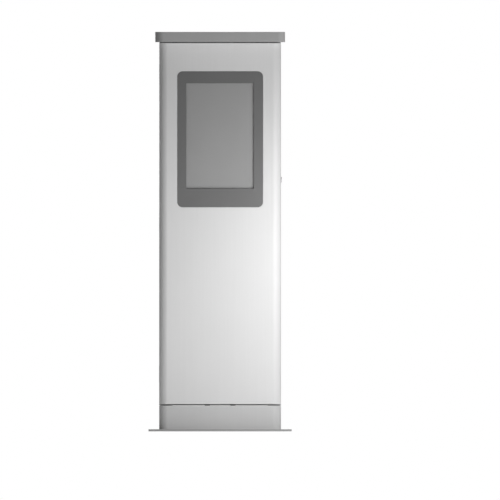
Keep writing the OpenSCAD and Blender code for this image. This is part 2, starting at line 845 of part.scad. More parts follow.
module lower_lock_rod() {
    jog_z = lock_z - (rack_rows + 3) * gear_module * PI;
    color("gainsboro") {
        mirror([0, 1, 0]) rack(-3.5, rack_rows);
        mirror([0, 1, 0]) rod_bar(jog_z - rod_w, lock_z - 3 * gear_module * PI);
        translate([rod_x - rod_w / 2, rod_y - rod_t / 2, jog_z - rod_w])
            cube([rod_w, rod_t - 2 * rod_y, rod_w]);
        rod_bar(lower_tongues[1] - 20, jog_z, lower_rollers);
        rod_rollers(lower_rollers);
    }
}

module rod_guides() {
    guide_h = 16;
    color("silver") for (z = [upper_tongues[0] + 60, upper_tongues[1] - 90,
            lower_tongues[0] - 60, lower_tongues[1] + 90])
        difference() {
            translate([rod_x - rod_w / 2 - 5, rod_y - rod_t / 2 - 4, z])
                cube([web_x - rod_x + rod_w / 2 + 5, rod_t + 8, guide_h]);
            translate([rod_x - rod_w / 2 - SLIDE_FIT, rod_y - rod_t / 2 - SLIDE_FIT, z - EPS])
                cube([rod_w + 2 * SLIDE_FIT, rod_t + 2 * SLIDE_FIT, guide_h + 2 * EPS]);
        }
}

module cam_lock_body() {
    color("silver") difference() {
        union() {
            x_rod(cam_barrel_r, cam_x + cam_t + 0.3, frame_x, 0, cam_lock_z);
            x_rod(cam_head_r, frame_x, frame_x + 1.8, 0, cam_lock_z);
        }
        x_rod(cam_plug_r + RUN_FIT, cam_x, frame_x + 5, 0, cam_lock_z);
    }
}

module cam_lock_plug() {
    color("gainsboro") difference() {
        x_rod(cam_plug_r, cam_x + cam_t, frame_x + 1.4, 0, cam_lock_z);
        translate([frame_x - 12, -0.8, cam_lock_z - 3]) cube([24, 1.6, 6]);
    }
}

module cam_lock_cam() {
    color("gainsboro") {
        difference() {
            union() {
                x_rod(7, cam_x, cam_x + cam_t, 0, cam_lock_z);
                translate([cam_x, -cam_len, cam_lock_z - cam_half])
                    cube([cam_t, cam_len, 2 * cam_half]);
            }
            translate([cam_x - EPS, -cam_len - EPS, cam_lock_z - cam_half - EPS])
                cube([cam_t + 2 * EPS, 6, 6]);
        }
        x_rod(4.5, cam_x - 3, cam_x, 0, cam_lock_z);
    }
}

// ---- door ----

module door_skin() {
    color("lightgray") difference() {
        translate([0, door_back_y, door_z0]) shell_tray(door_h, true);
        wall_plate(bezel_w + 2 * bezel_gap, bezel_h + 2 * bezel_gap, bezel_r + bezel_gap,
            front_y - EPS, sheet_t + 2 * EPS, bezel_z);
        for (z = hinge_zs) translate([hinge_x, hinge_y, z - hinge_len / 2 - 2])
            cylinder(r = knuckle_r + 1, h = hinge_len + 4);
    }
}

module door_liner() {
    color("silver") difference() {
        translate([0, door_back_y, door_z0]) back_frame(door_h);
        for (z = hinge_zs) translate([hinge_x, hinge_y, z - hinge_len / 2 - 2])
            cylinder(r = knuckle_r + 1, h = hinge_len + 4);
    }
}

module door_gasket() {
    color("#222222") seal_ring(door_back_y, -frame_y - gasket_gap);
}

// A hooked tongue for one locking roller; mouth is -1 where the roller comes from below
module hook_tongue(z, mouth) {
    notch_w = 2 * roller_r + 1;
    translate([tongue_x, door_back_y, z]) difference() {
        union() {
            translate([-4, 0, -16]) cube([tongue_t + 14, 2.4, 32]);
            translate([0, 0, mouth < 0 ? -12 : -10])
                cube([tongue_t, rod_y - door_back_y + notch_w / 2 + 7, 22]);
        }
        translate([-EPS, rod_y - door_back_y - notch_w / 2, mouth < 0 ? -30 : -roller_r - 0.5])
            cube([tongue_t + 2 * EPS, notch_w, 30 + roller_r + 0.5]);
    }
}

// The tongue whose end plate stands just behind the upper lock's cam when that points up
module cam_tongue() {
    reach = cam_half + 1 - door_back_y;
    translate([tongue_x - 1, door_back_y, cam_tongue_z]) {
        translate([-3, 0, -14]) cube([18, 2.4, 28]);
        translate([0, 0, -11]) cube([tongue_t, reach + 3, 22]);
        translate([0, reach, -11]) cube([15, 3, 22]);
    }
}

module door_tongues() {
    color("gainsboro") {
        for (z = upper_tongues) hook_tongue(z, -1);
        for (z = lower_tongues) hook_tongue(z, 1);
        cam_tongue();
    }
}

// ---- screen ----

module screen_bezel() {
    color("#505050") difference() {
        wall_plate(bezel_w, bezel_h, bezel_r, front_y, bezel_t, bezel_z);
        wall_plate(screen_w, screen_h, 3, front_y - EPS, bezel_t + 2 * EPS, screen_mid_z);
    }
}

module screen_gasket() {
    color("#222222") difference() {
        wall_plate(carrier_w - 4, carrier_h - 4, carrier_r - 2, front_y + sheet_t,
            bezel_t - sheet_t, bezel_z);
        wall_plate(bezel_w + 4, bezel_h + 4, bezel_r + 2, front_y, bezel_t + EPS, bezel_z);
    }
}

reader_w = 96;
reader_h = 56;
reader_t = 14;
reader_z = screen_z - glass_lap - lcd_rim - 2 - reader_h / 2;

module screen_carrier() {
    color("silver") difference() {
        wall_plate(carrier_w, carrier_h, carrier_r, carrier_front_y, carrier_t, bezel_z);
        wall_plate(screen_w + 2 * glass_lap + 1, screen_h + 2 * glass_lap + 1, 4,
            carrier_front_y - EPS, carrier_t + 2 * EPS, screen_mid_z);
        wall_plate(reader_w + 1, reader_h + 1, 6.5, carrier_front_y - EPS,
            carrier_t + 2 * EPS, reader_z);
    }
}

module touch_glass() {
    color("gray", 0.5) wall_plate(screen_w + 2 * glass_lap, screen_h + 2 * glass_lap, 3.5,
        carrier_front_y, glass_t, screen_mid_z);
}

module lcd_panel() {
    lcd_w = screen_w + 2 * (glass_lap + lcd_rim);
    lcd_h = screen_h + 2 * (glass_lap + lcd_rim);
    back = lcd_y + lcd_t;
    color("#707070") difference() {
        union() {
            wall_plate(lcd_w, lcd_h, 4, lcd_y, lcd_t - 10, screen_mid_z);
            wall_plate(lcd_w - 40, lcd_h - 40, 4, lcd_y + lcd_t - 10, 10, screen_mid_z);
        }
        for (x = [-1, 1], z = [-1, 1])
            y_rod(2, back - 8, back + EPS, x * board_hole_x, screen_mid_z + z * board_hole_z);
    }
}

module display_board() {
    board_y = lcd_y + lcd_t;
    color("darkgreen") {
        translate([-70, board_y + 6, screen_mid_z - 50]) cube([140, 1.6, 100]);
        for (x = [-1, 1], z = [-1, 1])
            y_rod(3, board_y, board_y + 6, x * board_hole_x, screen_mid_z + z * board_hole_z);
    }
    color("#303030") {
        translate([-22, board_y + 7.6, screen_mid_z - 18]) cube([36, 3, 36]);
        translate([-66, board_y + 7.6, screen_mid_z - 44]) cube([12, 8, 88]);
        translate([40, board_y + 7.6, screen_mid_z - 30]) cube([22, 10, 60]);
    }
}

module card_reader() {
    color("#303030") {
        wall_plate(reader_w, reader_h, 6, carrier_front_y, reader_t, reader_z);
        wall_plate(reader_w - 40, 20, 2, carrier_front_y + reader_t, 6, reader_z);
    }
}

// ---- electrics ----

pc_w = 240;
pc_h = 180;
pc_d = 34;
pc_z = 1010;
psu_w = 215;
psu_h = 115;
psu_d = 48;
psu_z = 790;
modem_z = 1215;

module controller_pc() {
    fin_n = 16;
    y0 = plate_y - pc_d;
    color("#404448") {
        translate([-pc_w / 2, y0, pc_z - pc_h / 2]) cube([pc_w, pc_d, pc_h]);
        for (i = [0:fin_n - 1])
            translate([-pc_w / 2 + 8 + i * (pc_w - 19) / (fin_n - 1), y0 - 12, pc_z - pc_h / 2 + 4])
                cube([3, 12, pc_h - 8]);
        for (x = [-1, 1]) translate([x * (pc_w / 2 + 7) - 7, plate_y - 2, pc_z - 60])
            cube([14, 2, 120]);
    }
}

module power_supply() {
    y0 = plate_y - psu_d;
    color("silver") difference() {
        translate([-psu_w / 2, y0, psu_z - psu_h / 2]) cube([psu_w, psu_d, psu_h]);
        translate([-psu_w / 2 - EPS, y0 - EPS, psu_z - psu_h / 2 + 12])
            cube([22, 20, psu_h - 24]);
        for (i = [-5:5], j = [-1, 1]) translate([i * 14 + 14, 0, 0])
            wall_plate(4, 34, 1.9, y0 - EPS, 3, psu_z + j * 22);
    }
    color("#303030") for (i = [0:8])
        translate([-psu_w / 2 + 4, y0 + 7, psu_z - psu_h / 2 + 14 + i * 9.9]) cube([16, 12, 8]);
}

module modem() {
    color("#303030") {
        translate([-55, plate_y - 28, modem_z - 40]) cube([110, 28, 80]);
        for (x = [-30, 30]) translate([x, plate_y - 14, modem_z + 40]) cylinder(r = 4, h = 12);
    }
}

module din_rail() {
    color("silver") translate([-160, plate_y, din_z]) rotate([90, 0, 90]) linear_extrude(320) {
        translate([-1, -13.5]) square([1, 27]);
        for (s = [-1, 1]) {
            translate([-7.5, s * 13 - 0.5]) square([7.5, 1]);
            translate([-7.5, s * 15.25 - 2.25]) square([1, 4.5]);
        }
    }
}

module main_breaker() {
    lever_cut = 7;
    x0 = breaker_x - breaker_w / 2;
    color("whitesmoke") difference() {
        union() {
            translate([x0, din_y - breaker_d + 10, din_z - 42]) cube([breaker_w, breaker_d - 10, 84]);
            translate([x0, din_y - breaker_d, din_z - 23]) cube([breaker_w, breaker_d, 46]);
        }
        translate([breaker_x - 20, din_y - breaker_d - EPS, lever_z - 14])
            cube([40, lever_cut, 20]);
    }
}

module breaker_lever() {
    color("#2a2a2a") {
        x_rod(2.4, breaker_x - 19, breaker_x + 19, lever_y + 7.2, lever_z - 4);
        translate([breaker_x - 16, lever_y - 7, lever_z - 6]) cube([32, 14, 4]);
    }
}

module terminal_blocks() {
    block = 6;
    color("dimgray") for (i = [0:11]) difference() {
        translate([20 + i * (block + 0.2), din_y - 36, din_z - 24]) cube([block, 36, 48]);
        for (z = [-1, 1]) translate([23 + i * (block + 0.2), din_y - 30, din_z + z * 14])
            rotate([90, 0, 0]) cylinder(r = 2, h = 10);
    }
}

duct_x = -185;
duct_side = 36;

module wiring_duct() {
    z0 = plate_z0 + 30;
    z1 = plate_z1 - 30;
    color("gray") difference() {
        translate([duct_x - duct_side / 2, plate_y - duct_side, z0])
            cube([duct_side, duct_side, z1 - z0]);
        translate([duct_x - duct_side / 2 + 2, plate_y - duct_side + 2, z0 - EPS])
            cube([duct_side - 4, duct_side - 4, z1 - z0 + 2 * EPS]);
        for (z = [z0 + 20:40:z1 - 20])
            translate([duct_x - duct_side / 2 - EPS, plate_y - duct_side + 8, z])
                cube([duct_side + 2 * EPS, duct_side - 16, 8]);
    }
}

lead_r = 4;
lead_low = [breaker_x - 13, 0, din_z + 42.5];
lead_high = [-psu_w / 2 + 12, plate_y - psu_d / 2, psu_z - psu_h / 2 - 0.5];
lead_route = bezier(lead_low, lead_low + [0, 0, 50], lead_high - [0, 0, 60], lead_high, 12);

module power_lead() {
    color("#1c1c1c") tube(lead_route, lead_r);
}

// The loom leaves the duct's face, falls, turns in a half circle and rises to the display
loom_r = 5;
loom_elbow = 24;
loom_bottom = 890;
loom_start = [duct_x, plate_y - duct_side - 0.4, 1000];
loom_fall = [duct_x, loom_start[1] - 6 - loom_elbow, 0];
loom_rise = [-120, lcd_y + (lcd_t - 10) / 2, 0];
loom_turn = norm(loom_rise - loom_fall) / 2;
loom_route = concat(
    [loom_start],
    [for (a = [0:18:90])
        loom_start - [0, 6 + loom_elbow * sin(a), loom_elbow * (1 - cos(a))]],
    [for (a = [0:15:180])
        (loom_fall + loom_rise) / 2 + (loom_fall - loom_rise) / 2 * cos(a)
            + [0, 0, loom_bottom - loom_turn * sin(a)]],
    [loom_rise + [0, 0, screen_z - glass_lap - lcd_rim - 0.4]]);

module door_loom() {
    color("#1c1c1c") tube(loom_route, loom_r);
}

base_plate();
left_upright();
right_upright();
foot_shoes();
foot_bolts();
head_rail();
sill_tray();
cable_glands();
plate_rails();
mounting_plate();
canopy_shell();
canopy_soffit();
canopy_ribs();
canopy_bolts();
front_plinth();
rear_plinth();
plinth_brackets();
plinth_screws();
rear_cover();
rear_gasket();
cover_screws();
intake_filter();
fan_housings();
intake_fan_rotor();
exhaust_fan_rotor();
hinge_frame_leaves();
hinge_pins();
hinge_door_leaves();
main_lock_body();
main_lock_plug();
lock_pinion();
lock_cover();
lock_nuts();
upper_lock_rod();
lower_lock_rod();
rod_guides();
cam_lock_body();
cam_lock_plug();
cam_lock_cam();
door_skin();
door_liner();
door_gasket();
door_tongues();
screen_bezel();
screen_gasket();
screen_carrier();
touch_glass();
lcd_panel();
display_board();
card_reader();
controller_pc();
power_supply();
modem();
din_rail();
main_breaker();
breaker_lever();
terminal_blocks();
wiring_duct();
power_lead();
door_loom();
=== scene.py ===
"""Looks for a free-standing parking pay station: a slim powder-coated pillar with a screen door.

Metres, in the part's own frame: Z is up, the customer stands at -Y, and the origin is the middle of
the floor plate's underside. Every piece here takes its place from the frame's own nodes.
"""
import json
import math

import bmesh
import bpy
from mathutils import Matrix, Vector

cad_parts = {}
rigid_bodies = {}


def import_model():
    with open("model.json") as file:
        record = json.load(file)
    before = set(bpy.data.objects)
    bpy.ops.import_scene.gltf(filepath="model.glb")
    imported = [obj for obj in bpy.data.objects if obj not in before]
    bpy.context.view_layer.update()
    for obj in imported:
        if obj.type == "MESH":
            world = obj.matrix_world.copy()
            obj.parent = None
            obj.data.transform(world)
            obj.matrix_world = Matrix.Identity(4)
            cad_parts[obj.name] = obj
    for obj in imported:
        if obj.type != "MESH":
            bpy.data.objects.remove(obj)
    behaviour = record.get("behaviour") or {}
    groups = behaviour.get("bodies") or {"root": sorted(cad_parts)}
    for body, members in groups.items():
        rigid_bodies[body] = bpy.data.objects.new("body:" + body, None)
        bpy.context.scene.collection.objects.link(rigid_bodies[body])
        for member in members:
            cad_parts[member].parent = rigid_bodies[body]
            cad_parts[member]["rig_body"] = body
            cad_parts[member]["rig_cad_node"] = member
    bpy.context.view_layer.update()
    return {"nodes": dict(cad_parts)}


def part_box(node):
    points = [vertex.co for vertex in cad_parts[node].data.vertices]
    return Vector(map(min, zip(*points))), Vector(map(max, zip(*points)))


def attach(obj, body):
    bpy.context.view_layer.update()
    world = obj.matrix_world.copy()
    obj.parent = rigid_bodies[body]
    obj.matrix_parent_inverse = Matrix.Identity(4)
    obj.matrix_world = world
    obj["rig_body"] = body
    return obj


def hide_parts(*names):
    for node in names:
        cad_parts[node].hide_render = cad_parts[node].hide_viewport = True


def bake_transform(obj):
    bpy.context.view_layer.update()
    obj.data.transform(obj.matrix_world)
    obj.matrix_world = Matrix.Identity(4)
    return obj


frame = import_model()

MM = 0.001
MM_PER_M = 1000.0
COLOR_A = 6      # sockets of a Mix node that blends colours
COLOR_B = 7
COLOR_OUT = 2
scene = bpy.context.scene
box = {node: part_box(node) for node in frame["nodes"]}
body_of = {node: piece["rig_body"] for node, piece in frame["nodes"].items()}


# ---------------------------------------------------------------- camera, light and floor

def make_camera():
    """A level, parallel view of the front, as an elevation drawing shows it"""
    data = bpy.data.cameras.new("elevation_camera")
    data.type = "ORTHO"
    data.ortho_scale = 2.3405
    camera = bpy.data.objects.new("elevation_camera", data)
    camera.location = (0.140, -12.0, 0.849)
    camera.rotation_euler = (math.radians(90), 0, 0)
    scene.collection.objects.link(camera)
    scene.camera = camera


def make_lamp(name, place, aim, width, height, power):
    """A soft box at place that faces aim"""
    data = bpy.data.lights.new(name, "AREA")
    data.shape = "RECTANGLE"
    data.size = width
    data.size_y = height
    data.energy = power
    lamp = bpy.data.objects.new(name, data)
    lamp.location = place
    lamp.rotation_euler = (Vector(aim) - Vector(place)).to_track_quat("-Z", "Y").to_euler()
    scene.collection.objects.link(lamp)


def make_studio():
    """Pale floor, white surroundings and soft boxes, the strongest from the front at the right"""
    scene.view_settings.view_transform = "Standard"
    world = bpy.data.worlds.new("studio")
    scene.world = world
    world.use_nodes = True
    world.node_tree.nodes.clear()
    seen = add(world, "ShaderNodeBackground", {"Color": (1, 1, 1, 1), "Strength": 1.0})
    fill = add(world, "ShaderNodeBackground", {"Color": (1, 1, 1, 1), "Strength": 0.03})
    path = add(world, "ShaderNodeLightPath")
    both = add(world, "ShaderNodeMixShader", {
        0: path.outputs["Is Camera Ray"], 1: fill.outputs[0], 2: seen.outputs[0]})
    add(world, "ShaderNodeOutputWorld", {"Surface": both.outputs[0]})
    make_lamp("key_box", (0.55, -0.9, 0.92), (0.12, -0.1, 0.85), 0.6, 0.8, 4.0)
    make_lamp("right_box", (1.4, -1.3, 0.95), (0.1, -0.1, 0.85), 0.7, 1.0, 9.0)
    make_lamp("side_box", (2.4, 0.9, 1.3), (0.2, 0.0, 1.0), 1.4, 1.8, 5.0)
    make_lamp("low_box", (0.45, -2.0, 0.35), (0.0, -0.1, 0.3), 1.4, 0.5, 8.0)
    make_lamp("rear_box", (-0.9, 2.6, 1.7), (0.0, 0.1, 0.9), 1.6, 1.6, 17.0)
    # Light straight down: it evens the floor and lights tops, and leaves upright faces alone
    data = bpy.data.lights.new("down_light", "SUN")
    data.energy = 1.2
    data.angle = math.radians(8)
    down = bpy.data.objects.new("down_light", data)
    down.location = (0.0, 0.0, 5.0)
    scene.collection.objects.link(down)

    bpy.ops.object.select_all(action="DESELECT")
    bpy.ops.mesh.primitive_plane_add(size=60, location=(0, 0, -0.0005))
    floor = bpy.context.object
    floor.name = "studio_floor"
    floor.data.materials.append(studio_paper)


# ---------------------------------------------------------------- finishes

def linear(code):
    """An sRGB hex colour as linear red, green, blue and full alpha"""
    parts = [int(code[i:i + 2], 16) / 255 for i in (1, 3, 5)]
    return tuple(c / 12.92 if c <= 0.04045 else ((c + 0.055) / 1.055) ** 2.4 for c in parts) + (1.0,)


def add(owner, kind, inputs=None, **settings):
    """Add one node, with its settings and with a value or a link for each input named"""
    node = owner.node_tree.nodes.new(kind)
    for key, value in settings.items():
        setattr(node, key, value)
    for socket, value in (inputs or {}).items():
        if isinstance(value, bpy.types.NodeSocket):
            owner.node_tree.links.new(value, node.inputs[socket])
        else:
            node.inputs[socket].default_value = value
    return node


def grain(finish, kind, size):
    """The value of a texture whose grain measures size, in mm along X, Y and Z"""
    place = add(finish, "ShaderNodeTexCoord")
    scaled = add(finish, "ShaderNodeMapping", {
        "Vector": place.outputs["Object"], "Scale": [MM_PER_M / s for s in size]})
    if kind == "cells":
        cells = add(finish, "ShaderNodeTexVoronoi", {"Vector": scaled.outputs[0], "Scale": 1.0})
        return cells.outputs["Color"]
    if kind == "pits":
        pits = add(finish, "ShaderNodeTexVoronoi", {"Vector": scaled.outputs[0], "Scale": 1.0})
        return pits.outputs["Distance"]
    noise = add(finish, "ShaderNodeTexNoise", {
        "Vector": scaled.outputs[0], "Scale": 1.0, "Detail": 3.0})
    return noise.outputs["Fac"]


def swing(finish, value, low, high, from_low=0.3, from_high=0.7):
    """A texture value stretched to run from low to high"""
    spread = add(finish, "ShaderNodeMapRange", {
        "Value": value, "From Min": from_low, "From Max": from_high, "To Min": low, "To Max": high})
    return spread.outputs[0]


def make_finish(name, colour, roughness, tone=(), relief=(), swing_rough=0.05, dust=0.0, **sockets):
    """One procedural finish. tone rows are (texture, grain in mm, share of brightness), relief rows
    are (texture, grain in mm, height in mm). dust pales upward faces."""
    finish = bpy.data.materials.new(name)
    finish.use_nodes = True
    finish.node_tree.nodes.clear()
    bright = None
    for kind, size, share in tone:
        value = swing(finish, grain(finish, kind, size), 1 - share, 1 + share)
        if bright is not None:
            both = add(finish, "ShaderNodeMath", {0: bright, 1: value}, operation="MULTIPLY")
            value = both.outputs[0]
        bright = value
    colour_out = add(finish, "ShaderNodeVectorMath", {
        0: linear(colour)[:3], "Scale": bright}, operation="SCALE").outputs["Vector"]
    if dust:
        shape = add(finish, "ShaderNodeNewGeometry")
        upward = add(finish, "ShaderNodeSeparateXYZ", {"Vector": shape.outputs["Normal"]})
        lies = swing(finish, upward.outputs["Z"], 0.0, dust, 0.6, 1.0)
        patch = swing(finish, grain(finish, "noise", (60, 60, 60)), 0.5, 1.0)
        cover = add(finish, "ShaderNodeMath", {0: lies, 1: patch}, operation="MULTIPLY").outputs[0]
        colour_out = add(finish, "ShaderNodeMix", {
            0: cover, COLOR_A: colour_out, COLOR_B: linear("#a8a49c")}, data_type="RGBA")
        colour_out = colour_out.outputs[COLOR_OUT]
    inputs = {"Base Color": colour_out}
    rough = grain(finish, "noise", (24, 24, 24))
    inputs["Roughness"] = swing(finish, rough, roughness - swing_rough, roughness + swing_rough)
    inputs.update(sockets)
    normal = None
    for kind, size, height in relief:
        bump = {"Height": grain(finish, kind, size), "Strength": 1.0, "Distance": height * MM}
        if normal is not None:
            bump["Normal"] = normal
        normal = add(finish, "ShaderNodeBump", bump).outputs[0]
    if normal is not None:
        inputs["Normal"] = normal
    surface = add(finish, "ShaderNodeBsdfPrincipled", inputs)
    add(finish, "ShaderNodeOutputMaterial", {"Surface": surface.outputs[0]})
    return finish


def powder_coat(name, colour, roughness=0.42):
    """Powder coat baked on steel: an even satin with orange peel about 2 mm across, faint clouds some
    300 mm wide, a fine speckle, and thin upright streaks where rain runs down"""
    return make_finish(name, colour, roughness, [
        ("noise", (260, 260, 340), 0.010),
        ("noise", (9, 9, 420), 0.008),
        ("noise", (0.9, 0.9, 0.9), 0.012),
    ], [("noise", (2.2, 2.2, 2.2), 0.035)], swing_rough=0.03, dust=0.16)


# Pale matt paper under the part
studio_paper = make_finish("matt_studio_paper", "#ececec", 0.9, [("noise", (400, 400, 400), 0.01)])

FINISHES = {
    # Light grey satin coat of the door and the rear cover
    "body_paint": powder_coat("light_grey_powder_coat", "#e6e6e6"),
    # The uprights carry the same coat a shade darker
    "frame_paint": powder_coat("mid_grey_powder_coat", "#d2d2d2"),
    # The canopy's coat is a shade darker again
    "canopy_paint": powder_coat("dark_grey_powder_coat", "#c0c0c0"),
    # The plinth's coat is a touch duller, from splashes
    "plinth_paint": powder_coat("plinth_grey_powder_coat", "#d2d2d2", 0.46),
    # The floor plate's coat is the darkest, dulled by shoes and grit
    "floor_plate_paint": powder_coat("scuffed_plate_powder_coat", "#a8a8a8", 0.55),
    # Galvanised sheet: spangle cells about 9 mm wide that catch the light one by one
    "zinc_sheet": make_finish("galvanised_steel_sheet", "#b4b6b8", 0.46, [
        ("cells", (9, 9, 9), 0.07), ("noise", (70, 70, 70), 0.05)],
        [("cells", (9, 9, 9), 0.003)], 0.06, Metallic=0.75),
    # Bright zinc plating on fasteners and rods, with faint upright drawn lines
    "zinc_hardware": make_finish("bright_zinc_plated_steel", "#c3c6c9", 0.28, [
        ("noise", (3, 3, 40), 0.08), ("noise", (25, 25, 25), 0.05)],
        [("noise", (0.8, 0.8, 12), 0.01)], 0.07, Metallic=1.0),
    # Stainless pin, drawn along its length
    "pin_steel": make_finish("drawn_stainless_pin", "#b9b9b8", 0.24, [
        ("noise", (0.8, 0.8, 30), 0.10)], [("noise", (0.6, 0.6, 20), 0.008)], 0.05, Metallic=1.0),
    # Satin nickel, turned: the tool marks read as a soft haze on the round faces
    "lock_metal": make_finish("satin_nickel_plated_brass", "#a9a9a9", 0.30, [
        ("noise", (30, 0.8, 0.8), 0.12), ("noise", (12, 12, 12), 0.06)],
        [("noise", (20, 0.7, 0.7), 0.008)], 0.08, Metallic=1.0),
    # Machined brass with bright cut flanks
    "pinion_brass": make_finish("cut_brass", "#c9a24e", 0.30, [
        ("noise", (12, 1.2, 1.2), 0.10)], [("noise", (10, 0.8, 0.8), 0.01)], 0.06, Metallic=1.0),
    # Foamed rubber seal: matt black with open pores about 1 mm wide
    "seal_rubber": make_finish("foamed_epdm_rubber", "#1d1d1e", 0.85, [
        ("pits", (1.4, 1.4, 1.4), 0.20)], [("pits", (1.4, 1.4, 1.4), 0.25)]),
    # Moulded bezel, smooth with a low sheen and faint flow clouds
    "bezel_plastic": make_finish("moulded_asa_plastic", "#767676", 0.34, [
        ("noise", (120, 120, 160), 0.015), ("noise", (0.9, 0.9, 0.9), 0.02)],
        [("noise", (1.2, 1.2, 1.2), 0.006)], 0.008, IOR=1.5),
    # Display module behind the glass: mid grey, unlit, with a very fine dot structure
    "display_module": make_finish("unlit_display_film", "#b0b0b0", 0.5, [
        ("cells", (1.6, 1.6, 1.6), 0.012), ("noise", (180, 180, 260), 0.02)],
        [("noise", (2.5, 2.5, 2.5), 0.01)], 0.04, IOR=1.45),
    # Solder mask over copper: green with raised tracks
    "circuit_board": make_finish("green_solder_mask", "#1f4a33", 0.35, [
        ("noise", (1.2, 30, 9), 0.25), ("noise", (9, 30, 1.2), 0.25)],
        [("noise", (1.2, 30, 9), 0.05)], 0.08, IOR=1.5),
    # Black housing with an even matt grain
    "reader_plastic": make_finish("spark_eroded_black_abs", "#2a2b2c", 0.55, [
        ("noise", (0.9, 0.9, 0.9), 0.12)], [("noise", (0.9, 0.9, 0.9), 0.05)]),
    # Black and slightly streaky, from the glass fibres in it
    "fan_plastic": make_finish("glass_filled_black_pbt", "#1b1b1c", 0.5, [
        ("noise", (0.6, 0.6, 3), 0.18)], [("noise", (0.8, 0.8, 2.5), 0.04)]),
    # Filter fleece: a random web of pale fibres
    "filter_media": make_finish("needled_filter_fleece", "#8b8d8c", 0.95, [
        ("noise", (0.7, 4, 3), 0.30), ("noise", (3, 4, 0.7), 0.30)],
        [("noise", (0.7, 4, 3), 0.5), ("noise", (3, 4, 0.7), 0.5)]),
    # Black anodised extrusion with die lines along its fins
    "heatsink_metal": make_finish("black_anodised_aluminium", "#35383b", 0.42, [
        ("noise", (1.0, 1.0, 90), 0.10)], [("noise", (0.8, 0.8, 80), 0.012)], 0.06, Metallic=0.6),
    # Thin bright sheet with small, faint spangle cells
    "supply_metal": make_finish("punched_zinc_coated_case", "#a7a9ab", 0.40, [
        ("cells", (6, 6, 6), 0.08), ("noise", (50, 50, 50), 0.05)],
        [("noise", (1.5, 1.5, 1.5), 0.01)], 0.06, Metallic=0.85),
    # Charcoal housing with an even matt grain
    "modem_plastic": make_finish("textured_charcoal_abs", "#3a3d40", 0.55, [
        ("noise", (0.9, 0.9, 0.9), 0.10)], [("noise", (0.9, 0.9, 0.9), 0.05)]),
    # Pale grey switchgear housing, satin with a fine grain
    "breaker_plastic": make_finish("moulded_light_grey_polyamide", "#d6d6d2", 0.5, [
        ("noise", (20, 20, 20), 0.03)], [("noise", (0.9, 0.9, 0.9), 0.03)]),
    # Black and a little glossier, where fingers polish it
    "lever_plastic": make_finish("moulded_black_polyamide", "#202020", 0.4, [
        ("noise", (6, 6, 6), 0.10)], [("noise", (0.8, 0.8, 0.8), 0.03)]),
    # Mid grey, satin, with faint flow clouds
    "terminal_plastic": make_finish("grey_terminal_polyamide", "#7b7e80", 0.5, [
        ("noise", (8, 8, 8), 0.06)], [("noise", (0.8, 0.8, 0.8), 0.03)]),
    # Light grey with die lines along its length
    "duct_plastic": make_finish("extruded_grey_pvc", "#b4b6b6", 0.5, [
        ("noise", (3, 3, 120), 0.04)], [("noise", (1.5, 1.5, 60), 0.02)]),
    # Grey, satin and slightly cloudy
    "gland_plastic": make_finish("moulded_grey_gland_polyamide", "#8b8d8e", 0.5, [
        ("noise", (6, 6, 6), 0.08)], [("noise", (0.9, 0.9, 0.9), 0.04)]),
    # Black, matt and slightly mottled
    "cable_jacket": make_finish("matt_black_cable_jacket", "#1a1a1b", 0.6, [
        ("noise", (4, 4, 4), 0.12)], [("noise", (0.9, 0.9, 0.9), 0.03)]),
}


def make_glass():
    """Toughened touch glass with an anti-glare etch: it shows the display through a soft gloss"""
    finish = bpy.data.materials.new("etched_touch_glass")
    finish.use_nodes = True
    finish.node_tree.nodes.clear()
    etch = grain(finish, "noise", (0.9, 0.9, 0.9))
    bump = add(finish, "ShaderNodeBump", {"Height": etch, "Strength": 1.0, "Distance": 0.01 * MM})
    smear = swing(finish, grain(finish, "noise", (90, 90, 60)), 0.12, 0.20)
    gloss = add(finish, "ShaderNodeBsdfPrincipled", {
        "Base Color": linear("#1c1c1c"), "Roughness": smear, "Normal": bump.outputs[0]})
    clear = add(finish, "ShaderNodeBsdfTransparent", {"Color": linear("#fdfdfd")})
    share = add(finish, "ShaderNodeFresnel", {"IOR": 1.5})
    shape = add(finish, "ShaderNodeNewGeometry")
    outer = add(finish, "ShaderNodeMath", {0: 1.0, 1: shape.outputs["Backfacing"]},
        operation="SUBTRACT")
    gloss_share = add(finish, "ShaderNodeMath", {0: share.outputs[0], 1: outer.outputs[0]},
        operation="MULTIPLY")
    both = add(finish, "ShaderNodeMixShader", {
        0: gloss_share.outputs[0], 1: clear.outputs[0], 2: gloss.outputs[0]})
    add(finish, "ShaderNodeOutputMaterial", {"Surface": both.outputs[0]})
    return finish


FINISHES["screen_glass"] = make_glass()
slot_of = {}
for node, piece in frame["nodes"].items():
    slot_of[node] = piece.data.materials[0].name
    for place in piece.material_slots:
        place.material = FINISHES[slot_of[node]]


# ---------------------------------------------------------------- modelling

def take(piece):
    """Make a piece the only selected object"""
    bpy.ops.object.select_all(action="DESELECT")
    piece.select_set(True)
    bpy.context.view_layer.objects.active = piece


def settle(piece):
    """Put a piece's place and size into its mesh"""
    take(piece)
    bpy.ops.object.transform_apply(location=True, rotation=True, scale=True)


def start_block(name, low, high):
    """A block from its lowest to its highest corner, to be shaped further"""
    low, high = Vector(low), Vector(high)
    bpy.ops.object.select_all(action="DESELECT")
    bpy.ops.mesh.primitive_cube_add(size=1, location=(low + high) / 2)
    piece = bpy.context.object
    piece.name = name
    piece.scale = high - low
    settle(piece)
    return piece


def pick(piece, what, test):
    """In edit mode, select the faces or edges that pass a test"""
    bpy.ops.mesh.select_mode(type=what)
    bpy.ops.mesh.select_all(action="DESELECT")
    mesh = bmesh.from_edit_mesh(piece.data)
    for part in (mesh.faces if what == "FACE" else mesh.edges):
        if test(part):
            part.select_set(True)
    mesh.select_flush_mode()
    bmesh.update_edit_mesh(piece.data)


def runs_along(edge, axis):
    """True if an edge runs along axis 0, 1 or 2"""
    span = edge.verts[1].co - edge.verts[0].co
    return abs(span[axis]) > 0.98 * span.length


